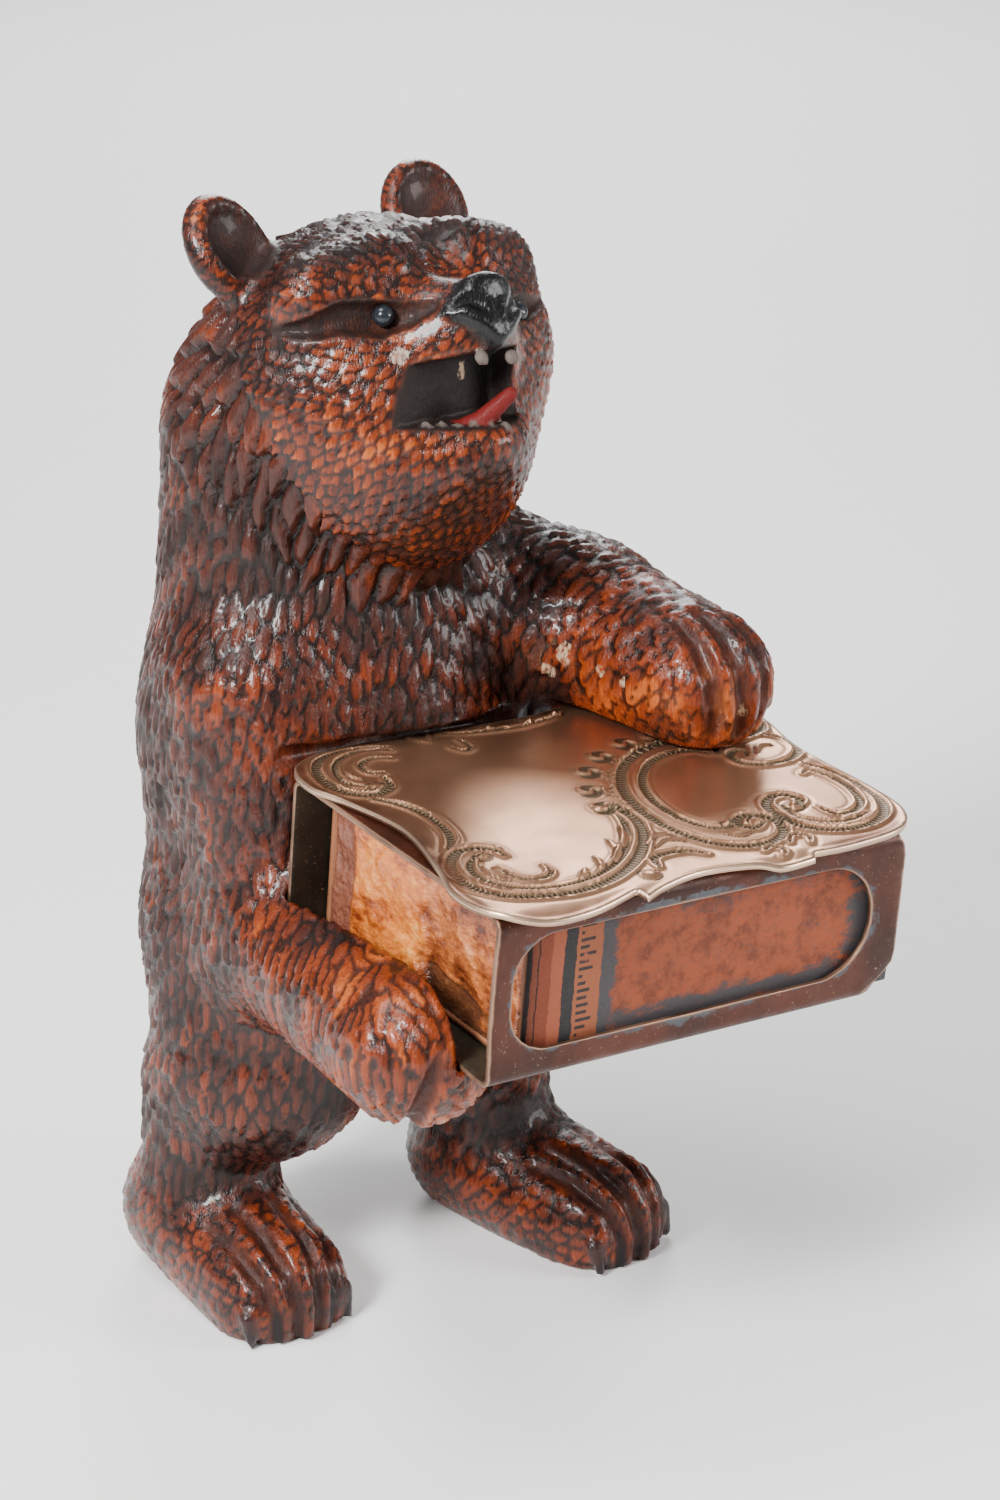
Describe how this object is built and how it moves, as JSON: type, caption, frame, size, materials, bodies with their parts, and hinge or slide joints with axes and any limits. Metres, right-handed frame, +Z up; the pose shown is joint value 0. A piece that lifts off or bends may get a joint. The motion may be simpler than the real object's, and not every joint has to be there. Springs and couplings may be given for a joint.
{
  "type": "carved bear match holder",
  "caption": "Standing carved wooden bear with its mouth open, holding a sheet-metal matchbox holder with an embossed scrollwork top and a small matchbox in it.",
  "frame": {"origin": "centre of the bounding box at the level the feet stand on", "axes": "+Z up, the bear faces -Y and its left side is towards +X"},
  "size_m": [0.0706, 0.0888, 0.1304],
  "materials": {
    "stained_wood": "dark brown stain, polished on the ridges",
    "bead": "black glass bead",
    "browned_sheet": "browned sheet iron, worn at the edges",
    "bronze_sheet": "satin bronze colour, embossed",
    "printed_card": "worn printed card",
    "paper_wrap": "amber waxed paper"
  },
  "bodies": {
    "root": {"bear": "stained_wood", "right_eye": "bead", "left_eye": "bead", "match_sleeve": "browned_sheet", "embossed_plate": "bronze_sheet", "matchbox_cover": "printed_card", "matchbox_tray": "paper_wrap"}
  },
  "joints": []
}
